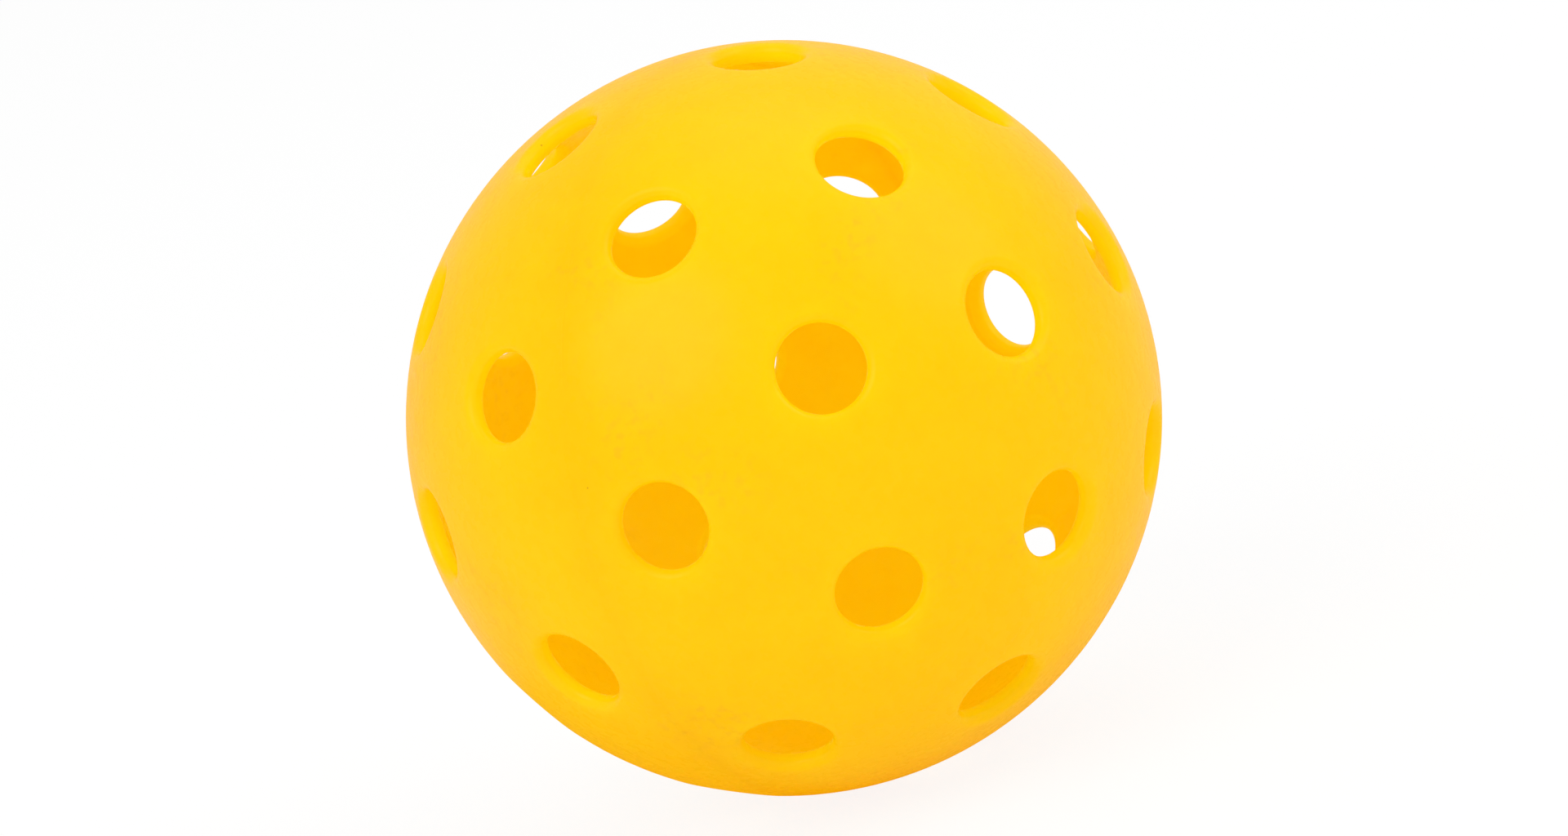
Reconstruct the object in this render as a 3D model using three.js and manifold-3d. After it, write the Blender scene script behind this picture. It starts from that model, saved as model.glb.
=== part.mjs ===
import * as THREE from 'three';
import { mergeVertices } from 'three/addons/utils/BufferGeometryUtils.js';
import Module from 'manifold-3d';

// A hollow ball with round air holes, moulded as two half shells that are welded along a stepped seam.
// Millimetres, +Z up, origin at the ball's centre. The poles lie on X, so the seam is the plane x = 0.

// Ball
const BALL_DIAMETER = 74;
const WALL = 1.9;

// Air holes, in rings round the half's pole: polar angle from the pole, and first hole's turn from +Z
const HOLE_DIAMETER = 8.5;
const OUTER_LIP_WIDTH = 1.1;
const OUTER_LIP_DEPTH = 1;
const INNER_LIP_ROUND = 0.8;
const HOLE_RINGS = [
  { polarDegrees: 22.9, holes: 4, startDegrees: 45 },
  { polarDegrees: 51, holes: 8, startDegrees: 22.5 },
  { polarDegrees: 77.6, holes: 8, startDegrees: 0 },
];

// The second half is turned over and twisted about X, so its holes lie between the first half's
const HALF_TWIST_DEGREES = 22.5;

// Seam: a tongue inside one rim sits in a rebate inside the other, and the outer lips meet face to face
const TONGUE_LENGTH = 1.2;
const TONGUE_THICKNESS = 0.8;
const SEAM_CLEARANCE = 0.1;

// Moulded plastic
const SHELL_COLOUR = 0xfcce16;
const SHELL_ROUGHNESS = 0.45;

// Facets
const SHELL_SEGMENTS = 48;
const SHELL_STEPS = 10;
const HOLE_SEGMENTS = 14;
const OUTER_LIP_STEPS = 2;
const INNER_LIP_STEPS = 2;

// A cutter reaches this far past both faces of the wall, and the lips leave this share of it straight
const OVERCUT = 1;
const STRAIGHT_BORE_SHARE = 0.05;

const outerRadius = BALL_DIAMETER / 2;
const innerRadius = outerRadius - WALL;
const holeRadius = HOLE_DIAMETER / 2;
const quarterTurn = Math.PI / 2;
const radians = THREE.MathUtils.degToRad;

const wasm = await Module();
wasm.setup();

function point(x, y) {
  return new THREE.Vector2(x, y);
}

function arc(centre, radius, from, to, steps) {
  const points = [];
  for (let step = 0; step <= steps; step += 1) {
    const angle = from + ((to - from) * step) / steps;
    points.push(point(centre.x + radius * Math.cos(angle), centre.y + radius * Math.sin(angle)));
  }
  return points;
}

// A lathed body whose axis lies along X
function lathedAlongX(profile, segments) {
  const geometry = new THREE.LatheGeometry(profile, segments);
  geometry.rotateZ(-quarterTurn);
  return geometry;
}

function solidOf(geometry) {
  const bare = geometry.clone();
  bare.deleteAttribute('normal');
  bare.deleteAttribute('uv');
  const merged = mergeVertices(bare);
  const corners = merged.index.array;
  const triangles = [];
  for (let first = 0; first < corners.length; first += 3) {
    const [a, b, c] = corners.slice(first, first + 3);
    if (a !== b && b !== c && c !== a) {
      triangles.push(a, b, c);
    }
  }
  const vertProperties = new Float32Array(merged.attributes.position.array);
  const triVerts = new Uint32Array(triangles);
  return new wasm.Manifold(new wasm.Mesh({ numProp: 3, vertProperties, triVerts }));
}

function geometryOf(solid) {
  const mesh = solid.getMesh();
  const geometry = new THREE.BufferGeometry();
  geometry.setAttribute('position', new THREE.BufferAttribute(mesh.vertProperties, 3));
  geometry.setIndex(new THREE.BufferAttribute(mesh.triVerts, 1));
  geometry.computeVertexNormals();
  return geometry;
}

// The share of the lips' full size that the wall has room for
function lipShare() {
  const room = WALL * (1 - STRAIGHT_BORE_SHARE);
  return Math.min(1, room / (OUTER_LIP_DEPTH + INNER_LIP_ROUND));
}

// A quarter oval from a face of the wall into the bore, tangent to both
function lip(faceRadius, width, depth, steps) {
  const edgeX = holeRadius + width;
  const edgeY = Math.sqrt(faceRadius ** 2 - edgeX ** 2);
  const rise = (width * edgeX) / edgeY;
  const points = [];
  for (let step = 0; step <= steps; step += 1) {
    const angle = (quarterTurn * step) / steps;
    const outward = 1 - Math.sin(angle);
    const inward = 1 - Math.cos(angle);
    points.push(point(holeRadius + width * outward, edgeY + rise * (1 - outward) + depth * inward));
  }
  return points;
}

// One hole's cutter: a bore with a lip at each face of the wall
function holeCutter() {
  const share = lipShare();
  const round = INNER_LIP_ROUND * share;
  const inner = lip(innerRadius, round, round, INNER_LIP_STEPS);
  const outer = lip(outerRadius, OUTER_LIP_WIDTH * share, -OUTER_LIP_DEPTH * share, OUTER_LIP_STEPS);
  outer.reverse();
  const profile = [
    point(0, innerRadius - 2 * OVERCUT),
    inner[0].clone().setLength(innerRadius - OVERCUT),
    ...inner,
    ...outer,
    outer.at(-1).clone().setLength(outerRadius + OVERCUT),
    point(0, outerRadius + OVERCUT),
  ];
  return lathedAlongX(profile, HOLE_SEGMENTS);
}

// A half shell with its pole on +X: the inner face, then the rim's own steps, then the outer face
function halfShell(innerStart, rim) {
  const centre = point(0, 0);
  const profile = [
    ...arc(centre, innerRadius, quarterTurn, Math.asin(innerStart / innerRadius), SHELL_STEPS),
    ...rim,
    ...arc(centre, outerRadius, 0, quarterTurn, SHELL_STEPS),
  ];
  return lathedAlongX(profile, SHELL_SEGMENTS);
}

function drilled(shell) {
  const cutter = holeCutter();
  let solid = solidOf(shell);
  for (const ring of HOLE_RINGS) {
    for (let hole = 0; hole < ring.holes; hole += 1) {
      const turn = ring.startDegrees + (360 * hole) / ring.holes;
      const placed = cutter.clone();
      placed.rotateY(-radians(ring.polarDegrees));
      placed.rotateX(radians(turn));
      solid = solid.subtract(solidOf(placed));
    }
  }
  return geometryOf(solid);
}

function tongueHalf() {
  const tongueRadius = innerRadius + TONGUE_THICKNESS;
  const rim = [
    point(innerRadius, -TONGUE_LENGTH),
    point(tongueRadius, -TONGUE_LENGTH),
    point(tongueRadius, 0),
  ];
  return drilled(halfShell(0, rim));
}

function rebateHalf() {
  const rebateRadius = innerRadius + TONGUE_THICKNESS + SEAM_CLEARANCE;
  const rebateDepth = TONGUE_LENGTH + SEAM_CLEARANCE;
  const rim = [
    point(rebateRadius, rebateDepth),
    point(rebateRadius, 0),
  ];
  const geometry = drilled(halfShell(rebateDepth, rim));
  geometry.rotateZ(Math.PI);
  geometry.rotateX(radians(HALF_TWIST_DEGREES));
  return geometry;
}

function plasticMesh(name, geometry) {
  const material = new THREE.MeshStandardMaterial({
    color: SHELL_COLOUR,
    roughness: SHELL_ROUGHNESS,
    metalness: 0,
  });
  const mesh = new THREE.Mesh(geometry, material);
  mesh.name = name;
  return mesh;
}

const ball = new THREE.Group();
ball.add(plasticMesh('tongue_half_shell', tongueHalf()));
ball.add(plasticMesh('rebate_half_shell', rebateHalf()));

export default ball;
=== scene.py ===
import math

import bmesh
import bpy
from mathutils import Matrix, Vector
from mathutils.geometry import delaunay_2d_cdt


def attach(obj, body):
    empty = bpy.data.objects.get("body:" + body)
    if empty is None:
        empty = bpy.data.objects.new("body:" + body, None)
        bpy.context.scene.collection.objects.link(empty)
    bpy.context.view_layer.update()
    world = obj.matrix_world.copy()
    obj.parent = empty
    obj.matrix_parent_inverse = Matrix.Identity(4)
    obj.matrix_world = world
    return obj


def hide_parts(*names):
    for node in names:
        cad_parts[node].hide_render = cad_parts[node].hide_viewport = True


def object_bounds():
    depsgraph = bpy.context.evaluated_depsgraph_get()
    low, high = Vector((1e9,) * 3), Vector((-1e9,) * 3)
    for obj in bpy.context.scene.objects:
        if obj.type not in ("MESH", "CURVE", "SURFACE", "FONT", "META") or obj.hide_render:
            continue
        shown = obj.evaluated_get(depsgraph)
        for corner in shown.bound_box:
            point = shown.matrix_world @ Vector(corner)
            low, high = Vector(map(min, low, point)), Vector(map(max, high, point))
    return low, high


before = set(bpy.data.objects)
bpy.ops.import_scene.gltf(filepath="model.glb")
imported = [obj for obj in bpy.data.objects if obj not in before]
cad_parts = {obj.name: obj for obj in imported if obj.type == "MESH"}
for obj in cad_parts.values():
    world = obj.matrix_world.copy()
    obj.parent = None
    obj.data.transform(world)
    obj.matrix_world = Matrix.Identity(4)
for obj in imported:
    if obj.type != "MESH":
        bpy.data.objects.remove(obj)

# A hollow ball of two moulded halves, in metres. The halves' poles lie on X and the weld seam on x = 0.
CAD_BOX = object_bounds()
MM = 0.001
X_AXIS = Vector((1, 0, 0))
BALL_RADIUS = (CAD_BOX[1].x - CAD_BOX[0].x) / 2
WALL = 1.9 * MM
INNER_RADIUS = BALL_RADIUS - WALL

# Air holes: each ring's angle from the half's pole, its number of holes, and its first hole's turn from +Z
HOLE_RINGS = ((22.9, 4, 45.0), (51.0, 8, 22.5), (77.6, 8, 0.0))
HOLE_RADIUS = 4.25 * MM
OUTER_LIP_WIDTH = 1.1 * MM
OUTER_LIP_DEPTH = 1.0 * MM
INNER_LIP_ROUND = 0.8 * MM

# The second half is turned over and twisted about X, so its holes lie between the first half's
HALF_TWIST = math.radians(22.5)

# Weld seam: the halves are fused into one wall, with a hairline dip where the two outer faces meet
SEAM_EASE = 0.15 * MM
SEAM_DIP = 0.012 * MM

# Fineness of the modelled skin
HOLE_SEGMENTS = 64
OUTER_LIP_STEPS = 10
INNER_LIP_STEPS = 6
SEAM_SEGMENTS = 288
SHARP_ANGLE = math.radians(40)

# Guard rings of points follow each hole's edge, and evenly spread points fill the rest, clear of all edges
GUARD_OFFSETS = (0.25 * MM, 0.8 * MM)
FILL_SPACING = 1.4 * MM
FILL_CLEARANCE = 0.6 * FILL_SPACING

# Settings of the triangulation: it covers everything inside the seam, and points this close count as one
COVER_ALL = 0
SAME_POINT = 1e-9

# The plastic's two colours: what its face sends back, and what comes through the wall.
# Each varies with the pigment from pale to deep.
FACE_PALE = (1, 1, 0.003, 1)
FACE_DEEP = (1, 0.975, 0.001, 1)
THROUGH_PALE = (1, 0.71, 0.002, 1)
THROUGH_DEEP = (1, 0.665, 0.001, 1)
THROUGH_SHARE = 0.63

# Painted glow on the lips and bores, standing in for light inside the wall: most in the bore, less at the
# inner edge
LIP_FACE_PAINTED_GLOW = (1, 1, 0.006, 1)
LIP_THROUGH_PAINTED_GLOW = (1, 0.95, 0.006, 1)
BORE_PAINTED_GLOW = 0.45
OUTER_GLOW_POWER = 3
INNER_GLOW_LOSS = 0.5

# Patterns in the plastic: the size of a noise and its detail
FINE_MOTTLE = (3 * MM, 4)
BROAD_MOTTLE = (16 * MM, 2)
RUBBED_PATCHES = (14 * MM, 1)
SCUFF_GRAIN = (1.1 * MM, 5)
GLOSS_GRAIN = (1.3 * MM, 3)
ORANGE_PEEL = (1.6 * MM, 4)

# The levels of a pattern between which its effect comes in
MOTTLE_LEVELS = (0.75, 1.25)
RUBBED_LEVELS = (0.6, 0.7)
SCUFF_LEVELS = (0.52, 0.66)
GLOSS_LEVELS = (0.3, 0.7)

# Wear: faint scuffs in the rubbed patches, and small dark specks, whose levels are shares of their spacing
SCUFF_COLOUR = (0.35, 0.28, 0.08, 1)
SCUFF_STRENGTH = 0.16
SPECK_COLOUR = (0.3, 0.16, 0.01, 1)
SPECK_STRENGTH = 0.5
SPECK_SPACING = 7 * MM
SPECK_LEVELS = (0.012, 0.022)

# Satin finish
ROUGHNESS_RANGE = (0.22, 0.34)
SPECULAR_LEVEL = 0.2
PEEL_HEIGHT = 0.003 * MM

# The photograph's view: its direction from the ball, the camera's roll, and its distance in ball radii.
# The lens follows from the size of the ball in the picture.
VIEW_AZIMUTH = math.radians(33.78)
VIEW_ELEVATION = math.radians(11.77)
VIEW_ROLL = math.radians(-14.92)
VIEW_DISTANCE = 13.69 * BALL_RADIUS
SENSOR_WIDTH = 36.0
IMAGE_WIDTH_PX = 1920
BALL_RADIUS_PX = 463.1
NEAR_CLIP = 10 * MM

# White tent: it shows as full white, and lights the ball by this much
WHITE = (1, 1, 1, 1)
TENT_LIGHT = 0.65

# Floor: seen as this share of plain white, and for the rest as a lit floor with the ball's shadow on it
FLOOR_LEVEL = CAD_BOX[0].z
FLOOR_SIZE = 6.0
FLOOR_COLOUR = (0.96, 0.96, 0.96, 1)
FLOOR_ROUGHNESS = 0.9
FLOOR_WHITE_SHARE = 0.87

# Painted reflection: the ball's gloss sees a painted yellow pool on the floor near it, standing in for the
# ball's shade and tint there
PAINTED_POOL_COLOUR = (0.65, 0.5, 0, 1)
PAINTED_POOL_PLACE = (-25 * MM, 8 * MM, FLOOR_LEVEL)
PAINTED_POOL_CORE = 32 * MM
PAINTED_POOL_EDGE = 66 * MM

# Softboxes: name, place and watts. They are all of one width and face the ball.
SOFTBOX_WIDTH = 1.5
SOFTBOXES = (
    ("left_softbox", (-0.12, -1.51, 1.305), 14.4),
    ("right_softbox", (1.472, 0.56, 1.232), 9.5),
    ("top_softbox", (0.209, 0.614, 1.892), 5.5),
)

# Numbers of the Mix node's sockets that hold colours
MIX_SHARE = 0
MIX_FIRST = 6
MIX_SECOND = 7
MIX_RESULT = 2


class Skin:
    """A mesh in the making: points, how much painted glow some of them get, and faces that join them."""

    def __init__(self):
        self.points = []
        self.glow = {}
        self.faces = []

    def add(self, points):
        first = len(self.points)
        self.points.extend(points)
        return list(range(first, len(self.points)))

    def ring(self, axis, radius, height, segments):
        side = axis.orthogonal().normalized()
        other = axis.cross(side)
        points = []
        for step in range(segments):
            turn = 2 * math.pi * step / segments
            outward = side * math.cos(turn) + other * math.sin(turn)
            points.append(axis * height + outward * radius)
        return self.add(points)

    def join(self, rings):
        for ring, following in zip(rings, rings[1:]):
            for here in range(len(ring)):
                there = (here + 1) % len(ring)
                self.faces.append((ring[here], ring[there], following[there], following[here]))

    def cover(self, radius, axes, hole_edges, seam_edge):
        """Spread even triangles over the half sphere between the hole edges and the seam."""
        edge_angle = axes[0].angle(self.points[hole_edges[0][0]])
        used = list(seam_edge)
        for axis, edge in zip(axes, hole_edges):
            used.extend(edge)
            for offset in GUARD_OFFSETS:
                angle = edge_angle + offset / radius
                used.extend(self.ring(axis, radius * math.sin(angle), radius * math.cos(angle), len(edge)))
        keep_off = edge_angle + (GUARD_OFFSETS[-1] + FILL_CLEARANCE) / radius
        used.extend(self.add(fill_points(radius, axes, keep_off)))

        place = {point: index for index, point in enumerate(used)}
        flat = [flattened(self.points[point]) for point in used]
        loops = [*hole_edges, seam_edge]
        borders = [(place[a], place[b]) for loop in loops for a, b in zip(loop, [*loop[1:], loop[0]])]
        triangles, origins = delaunay_2d_cdt(flat, borders, [], COVER_ALL, SAME_POINT)[2:4]

        # A triangle with all its corners on one hole's edge would close that hole
        hole_of = {point: hole for hole, edge in enumerate(hole_edges) for point in edge}
        for triangle in triangles:
            corners = [used[origins[corner][0]] for corner in triangle]
            holes = {hole_of.get(corner) for corner in corners}
            if len(holes) > 1 or None in holes:
                self.faces.append(corners)


def flattened(point):
    """Stereographic view from the far pole, which keeps circles round and triangles well shaped."""
    ahead = point.length + point.x
    return Vector((point.y / ahead, point.z / ahead))


def direction(polar, turn):
    """A direction at a polar angle from +X, turned about X from +Z."""
    return Vector((math.cos(polar), -math.sin(polar) * math.sin(turn), math.sin(polar) * math.cos(turn)))


def fill_points(radius, axes, keep_off):
    """Points of an even spiral over the half sphere, clear of the holes and of the seam."""
    golden_turn = math.pi * (3 - math.sqrt(5))
    half_sphere = 2 * math.pi * radius**2
    area_for_each = FILL_SPACING**2 * math.sqrt(3) / 2
    count = round(half_sphere / area_for_each)
    nearest = math.cos(keep_off)
    points = []
    for step in range(count):
        rise = 1 - (step + 0.5) / count
        spot = direction(math.acos(rise), step * golden_turn)
        clear_of_seam = rise * radius > FILL_CLEARANCE
        if clear_of_seam and all(spot.dot(axis) < nearest for axis in axes):
            points.append(spot * radius)
    return points


def hole_axes():
    axes = []
    for polar, holes, start in HOLE_RINGS:
        for hole in range(holes):
            turn = start + 360 * hole / holes
            axes.append(direction(math.radians(polar), math.radians(turn)))
    return axes


def lip(face_radius, width, depth, steps):
    """A quarter oval from a face of the wall into the bore, as radius and height along the hole's axis."""
    edge_x = HOLE_RADIUS + width
    edge_y = math.sqrt(face_radius**2 - edge_x**2)
    rise = width * edge_x / edge_y
    points = []
    for step in range(steps + 1):
        angle = math.pi / 2 * step / steps
        outward = 1 - math.sin(angle)
        inward = 1 - math.cos(angle)
        points.append((HOLE_RADIUS + width * outward, edge_y + rise * (1 - outward) + depth * inward))
    return points


def lip_profile():
    """A hole's wall from the outer face to the inner one."""
    outer = lip(BALL_RADIUS, OUTER_LIP_WIDTH, -OUTER_LIP_DEPTH, OUTER_LIP_STEPS)
    inner = lip(INNER_RADIUS, INNER_LIP_ROUND, INNER_LIP_ROUND, INNER_LIP_STEPS)
    return [*outer, *reversed(inner)]


def painted_lip_glow():
    """How much painted glow each ring of a hole's wall gets, from the outer face to the inner one."""
    glow = []
    for step in range(OUTER_LIP_STEPS + 1):
        glow.append(BORE_PAINTED_GLOW * (step / OUTER_LIP_STEPS) ** OUTER_GLOW_POWER)
    for step in range(INNER_LIP_STEPS + 1):
        glow.append(BORE_PAINTED_GLOW * (1 - INNER_GLOW_LOSS * step / INNER_LIP_STEPS))
    return glow


def seam_profile():
    """The rim from the outer face to the inner one, as radius and place along X."""
    outer_start = (math.sqrt(BALL_RADIUS**2 - SEAM_EASE**2), SEAM_EASE)
    return [outer_start, (BALL_RADIUS - SEAM_DIP, 0), (INNER_RADIUS, 0)]


def half_skin():
    """A half with its pole on +X: the holes' walls, the rim, and then the outer and inner faces."""
    skin = Skin()
    axes = hole_axes()
    outer_edges = []
    inner_edges = []
    for axis in axes:
        rings = [skin.ring(axis, radius, height, HOLE_SEGMENTS) for radius, height in lip_profile()]
        skin.join(rings)
        # Each ring of a hole's wall gets its share of the painted glow
        for ring, glow in zip(rings, painted_lip_glow()):
            skin.glow.update(dict.fromkeys(ring, glow))
        outer_edges.append(rings[0])
        inner_edges.append(rings[-1])
    seam = [skin.ring(X_AXIS, radius, place, SEAM_SEGMENTS) for radius, place in seam_profile()]
    skin.join(seam)
    skin.cover(BALL_RADIUS, axes, outer_edges, seam[0])
    skin.cover(INNER_RADIUS, axes, inner_edges, seam[-1])
    return skin


def half_shell(name, turn):
    skin = half_skin()
    mesh = bpy.data.meshes.new(name)
    mesh.from_pydata([turn @ point for point in skin.points], [], skin.faces)
    body = bmesh.new()
    body.from_mesh(mesh)
    bmesh.ops.recalc_face_normals(body, faces=body.faces)
    body.to_mesh(mesh)
    body.free()
    # The painted glow is stored on the mesh, where the material lightens the lips' colours by it
    glow = mesh.attributes.new("painted_lip_glow", "FLOAT", "POINT")
    glow.data.foreach_set("value", [skin.glow.get(index, 0.0) for index in range(len(skin.points))])
    mesh.shade_smooth()
    mesh.set_sharp_from_angle(angle=SHARP_ANGLE)
    piece = bpy.data.objects.new(name, mesh)
    bpy.context.collection.objects.link(piece)
    return piece


class Graph:
    """Shorthand for making a node tree."""

    def __init__(self, owner):
        owner.use_nodes = True
        self.tree = owner.node_tree
        self.nodes = self.tree.nodes

    def add(self, kind, inputs, **settings):
        made = self.nodes.new(kind)
        for name, value in settings.items():
            setattr(made, name, value)
        for key, value in inputs.items():
            self.set(made.inputs[key], value)
        return made

    def set(self, socket, value):
        if isinstance(value, bpy.types.NodeSocket):
            self.tree.links.new(value, socket)
        else:
            socket.default_value = value

    def noise(self, place, size, detail):
        inputs = {"Vector": place, "Scale": 1 / size, "Detail": detail}
        return self.add("ShaderNodeTexNoise", inputs).outputs[0]

    def remap(self, value, low, high, new_low, new_high):
        inputs = {0: value, 1: low, 2: high, 3: new_low, 4: new_high}
        return self.add("ShaderNodeMapRange", inputs).outputs[0]

    def math(self, operation, *values):
        return self.add("ShaderNodeMath", dict(enumerate(values)), operation=operation).outputs[0]

    def blend(self, share, first, second):
        inputs = {MIX_SHARE: share, MIX_FIRST: first, MIX_SECOND: second}
        return self.add("ShaderNodeMix", inputs, data_type="RGBA").outputs[MIX_RESULT]

    def show_mixed(self, share, first, second):
        """Give the material a mix of two shaders as its surface."""
        inputs = {0: share, 1: first.outputs[0], 2: second.outputs[0]}
        mixed = self.add("ShaderNodeMixShader", inputs).outputs[0]
        self.set(self.nodes["Material Output"].inputs["Surface"], mixed)

    def looked_at(self, path):
        """One for a ray that shows the surroundings in the picture, zero for one that only brings light."""
        seen = self.math("MAXIMUM", path["Is Camera Ray"], path["Is Glossy Ray"])
        return self.math("MAXIMUM", seen, path["Is Transmission Ray"])


def plastic_colours(graph, place):
    """The colours of the face and of the light through the wall, with mottle, painted glow at the lips,
    specks and scuffs.
    """
    # Painted glow: the lips and bores get lighter colours that stand in for light running inside the wall
    painted_glow_at_lip = graph.add("ShaderNodeAttribute", {}, attribute_name="painted_lip_glow").outputs["Fac"]
    mottle = graph.math("ADD", graph.noise(place, *FINE_MOTTLE), graph.noise(place, *BROAD_MOTTLE))
    pigment = graph.remap(mottle, *MOTTLE_LEVELS, 0, 1)
    face = graph.blend(pigment, FACE_PALE, FACE_DEEP)
    face = graph.blend(painted_glow_at_lip, face, LIP_FACE_PAINTED_GLOW)
    through = graph.blend(pigment, THROUGH_PALE, THROUGH_DEEP)
    through = graph.blend(painted_glow_at_lip, through, LIP_THROUGH_PAINTED_GLOW)

    cells = graph.add("ShaderNodeTexVoronoi", {"Vector": place, "Scale": 1 / SPECK_SPACING})
    specks = graph.remap(cells.outputs["Distance"], *SPECK_LEVELS, SPECK_STRENGTH, 0)
    face = graph.blend(specks, face, SPECK_COLOUR)
    through = graph.blend(specks, through, SPECK_COLOUR)

    rubbed = graph.remap(graph.noise(place, *RUBBED_PATCHES), *RUBBED_LEVELS, 0, 1)
    scuffs = graph.remap(graph.noise(place, *SCUFF_GRAIN), *SCUFF_LEVELS, 0, SCUFF_STRENGTH)
    face = graph.blend(graph.math("MULTIPLY", rubbed, scuffs), face, SCUFF_COLOUR)
    return face, through


def plastic():
    """Satin polyethylene. Part of the light goes through the wall, which makes the hollow glow."""
    material = bpy.data.materials.new("yellow_plastic")
    graph = Graph(material)
    place = graph.add("ShaderNodeTexCoord", {}).outputs["Object"]
    face, through = plastic_colours(graph, place)
    roughness = graph.remap(graph.noise(place, *GLOSS_GRAIN), *GLOSS_LEVELS, *ROUGHNESS_RANGE)
    peel = graph.noise(place, *ORANGE_PEEL)
    bump = graph.add("ShaderNodeBump", {"Height": peel, "Strength": 1, "Distance": PEEL_HEIGHT}).outputs[0]

    satin = graph.nodes["Principled BSDF"]
    graph.set(satin.inputs["Base Color"], face)
    graph.set(satin.inputs["Roughness"], roughness)
    graph.set(satin.inputs["Specular IOR Level"], SPECULAR_LEVEL)
    graph.set(satin.inputs["Normal"], bump)
    glow = graph.add("ShaderNodeBsdfTranslucent", {"Color": through, "Normal": bump})
    graph.show_mixed(THROUGH_SHARE, satin, glow)
    return material


def make_camera():
    data = bpy.data.cameras.new("photo_camera")
    data.sensor_width = SENSOR_WIDTH
    data.sensor_fit = "HORIZONTAL"
    focal_px = BALL_RADIUS_PX * math.sqrt((VIEW_DISTANCE / BALL_RADIUS) ** 2 - 1)
    data.lens = SENSOR_WIDTH * focal_px / IMAGE_WIDTH_PX
    data.clip_start = NEAR_CLIP
    camera = bpy.data.objects.new("photo_camera", data)
    bpy.context.collection.objects.link(camera)
    level = Matrix.Rotation(math.pi / 2 - VIEW_ELEVATION, 4, "X")
    turn = Matrix.Rotation(VIEW_AZIMUTH, 4, "Z") @ level @ Matrix.Rotation(VIEW_ROLL, 4, "Z")
    camera.matrix_world = turn @ Matrix.Translation((0, 0, VIEW_DISTANCE))
    bpy.context.scene.camera = camera


def floor_material():
    """A floor that looks white and still shows the ball's shadow. Its own glow is no lamp for the ball."""
    material = bpy.data.materials.new("white_floor")
    material.cycles.emission_sampling = "NONE"
    graph = Graph(material)
    lit = graph.nodes["Principled BSDF"]
    graph.set(lit.inputs["Base Color"], FLOOR_COLOUR)
    graph.set(lit.inputs["Roughness"], FLOOR_ROUGHNESS)

    path = graph.add("ShaderNodeLightPath", {}).outputs
    place = graph.add("ShaderNodeNewGeometry", {}).outputs["Position"]
    # A painted pool of yellow shade on the floor, seen only in the ball's gloss
    away = graph.add("ShaderNodeVectorMath", {0: place, 1: PAINTED_POOL_PLACE}, operation="DISTANCE")
    near = graph.remap(away.outputs["Value"], PAINTED_POOL_CORE, PAINTED_POOL_EDGE, 1, 0)
    painted_pool = graph.math("MULTIPLY", path["Is Glossy Ray"], near)
    colour = graph.blend(painted_pool, WHITE, PAINTED_POOL_COLOUR)
    plain = graph.add("ShaderNodeEmission", {"Color": colour, "Strength": 1})
    share = graph.math("MULTIPLY", graph.looked_at(path), FLOOR_WHITE_SHARE)
    graph.show_mixed(share, lit, plain)
    return material


def make_floor():
    data = bpy.data.meshes.new("floor")
    half = FLOOR_SIZE / 2
    corners = [(x * half, y * half, FLOOR_LEVEL) for x, y in ((-1, -1), (1, -1), (1, 1), (-1, 1))]
    data.from_pydata(corners, [], [(0, 1, 2, 3)])
    data.materials.append(floor_material())
    floor = bpy.data.objects.new("floor", data)
    bpy.context.collection.objects.link(floor)


def make_world():
    """A white tent: a full white backdrop that lights the ball a little less than it shows."""
    world = bpy.data.worlds.new("white_tent")
    graph = Graph(world)
    backdrop = graph.nodes["Background"]
    path = graph.add("ShaderNodeLightPath", {}).outputs
    graph.set(backdrop.inputs["Color"], WHITE)
    graph.set(backdrop.inputs["Strength"], graph.remap(graph.looked_at(path), 0, 1, TENT_LIGHT, 1))
    bpy.context.scene.world = world


def make_softbox(name, place, watts):
    data = bpy.data.lights.new(name, "AREA")
    data.shape = "DISK"
    data.size = SOFTBOX_WIDTH
    data.energy = watts
    lamp = bpy.data.objects.new(name, data)
    lamp.location = place
    lamp.rotation_euler = Vector(place).to_track_quat("Z", "Y").to_euler()
    bpy.context.collection.objects.link(lamp)


bpy.context.scene.view_settings.view_transform = "Standard"
make_camera()
make_floor()
make_world()
for lamp_name, lamp_place, lamp_watts in SOFTBOXES:
    make_softbox(lamp_name, lamp_place, lamp_watts)

yellow = plastic()
turned_over = Matrix.Rotation(HALF_TWIST, 4, "X") @ Matrix.Rotation(math.pi, 4, "Z")
HALVES = (
    ("tongue_half_skin", "tongue_half_shell", Matrix.Identity(4)),
    ("rebate_half_skin", "rebate_half_shell", turned_over),
)
for skin_name, node, turn in HALVES:
    piece = half_shell(skin_name, turn)
    piece.data.materials.append(yellow)
    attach(piece, "root")
    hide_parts(node)
